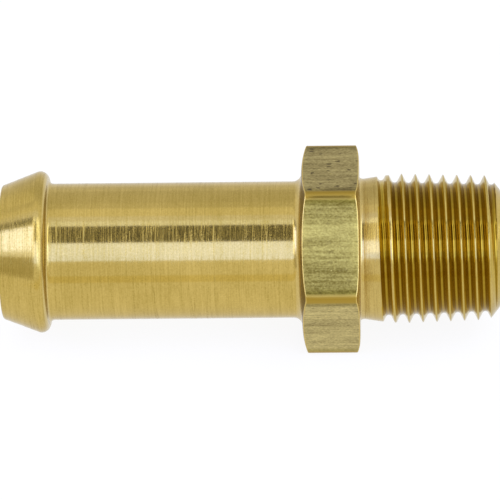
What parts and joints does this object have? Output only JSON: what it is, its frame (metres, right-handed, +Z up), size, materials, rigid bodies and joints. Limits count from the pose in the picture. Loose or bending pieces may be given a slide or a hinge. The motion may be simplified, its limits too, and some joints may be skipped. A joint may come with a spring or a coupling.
{
  "type": "hose fitting",
  "caption": "Straight brass hose fitting: a beaded hose tail with a coned nose, a wrench hexagon and a tapered male pipe thread on one axis, bored right through.",
  "frame": {"origin": "on the turned axis, in the plane of the hexagon's face on the thread side", "axes": "+X along the axis towards the thread's end, +Z up with one flat of the hexagon facing straight down and one straight up"},
  "size_m": [0.0329, 0.0136, 0.012],
  "materials": {
    "turned_brass": "bright turned surfaces with fine tool lines, dull drawn flats on the hexagon"
  },
  "bodies": {
    "root": {"fitting_body": "turned_brass"}
  },
  "joints": []
}
